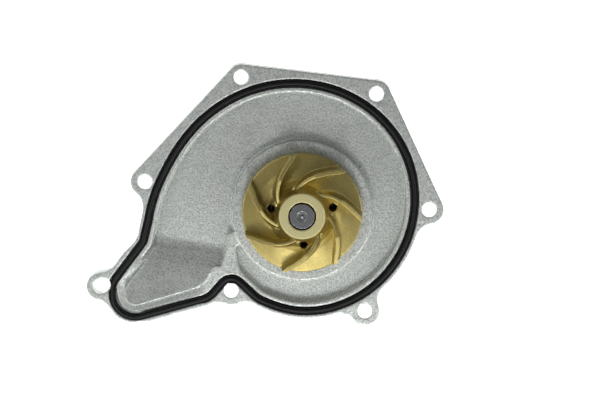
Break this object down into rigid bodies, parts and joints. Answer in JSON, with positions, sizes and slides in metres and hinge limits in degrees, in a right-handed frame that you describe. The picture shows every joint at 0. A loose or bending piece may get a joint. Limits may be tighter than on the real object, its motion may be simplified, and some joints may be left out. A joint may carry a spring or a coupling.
{
  "type": "coolant pump",
  "caption": "Car engine coolant pump: a flat die-cast volute cover with a moulded seal, open curved-vane impeller, sealed shaft bearing and rear drive hub.",
  "frame": {"origin": "on the shaft axis at the drive hub's outer face, which is flush with the shaft's end", "axes": "+Z along the shaft from the drive hub to the impeller, +X across the cover towards the side away from the outlet, +Y towards the two top fixing lugs"},
  "size_m": [0.1713, 0.1262, 0.0835],
  "materials": {
    "cast_aluminium": "as cast, fine grain",
    "brass": "satin, machined",
    "steel": "ground",
    "hub_steel": "turned, lightly oiled",
    "seal_rubber": "moulded, satin",
    "cage_plastic": "glass-filled moulding",
    "carbon": "lapped",
    "ceramic": "lapped"
  },
  "bodies": {
    "housing": {"pump_housing": "cast_aluminium", "flange_seal": "seal_rubber", "bearing_outer_ring": "steel", "bearing_lip_seal_rear": "seal_rubber", "bearing_lip_seal_front": "seal_rubber", "shaft_seal_casing": "hub_steel", "shaft_seal_bellows": "seal_rubber", "shaft_seal_spring": "steel", "shaft_seal_carbon_ring": "carbon"},
    "rotor": {"pump_shaft": "steel", "impeller": "brass", "drive_hub": "hub_steel", "shaft_seal_sleeve": "brass", "shaft_seal_seat_ring": "ceramic", "shaft_seal_seat_boot": "seal_rubber"},
    "ball_train": {"ball_cage": "cage_plastic", "bearing_ball_01": "steel", "bearing_ball_02": "steel", "bearing_ball_03": "steel", "bearing_ball_04": "steel", "bearing_ball_05": "steel", "bearing_ball_06": "steel", "bearing_ball_07": "steel", "bearing_ball_08": "steel", "bearing_ball_09": "steel"},
    "roller_train": {"roller_cage": "cage_plastic", "bearing_roller_01": "steel", "bearing_roller_02": "steel", "bearing_roller_03": "steel", "bearing_roller_04": "steel", "bearing_roller_05": "steel", "bearing_roller_06": "steel", "bearing_roller_07": "steel", "bearing_roller_08": "steel", "bearing_roller_09": "steel", "bearing_roller_10": "steel"}
  },
  "joints": [
    {"name": "shaft_spin", "type": "hinge", "parent": "housing", "child": "rotor", "pos_m": [0, 0, 0], "axis": [0, 0, 1], "continuous": true},
    {"name": "ball_train_turn", "type": "hinge", "parent": "housing", "child": "ball_train", "pos_m": [0, 0, 0.0245], "axis": [0, 0, 1], "continuous": true},
    {"name": "roller_train_turn", "type": "hinge", "parent": "housing", "child": "roller_train", "pos_m": [0, 0, 0.039], "axis": [0, 0, 1], "continuous": true}
  ],
  "couplings": [
    {"joint": "ball_train_turn", "follows": "shaft_spin", "ratio": 0.3718},
    {"joint": "roller_train_turn", "follows": "shaft_spin", "ratio": 0.3718}
  ]
}
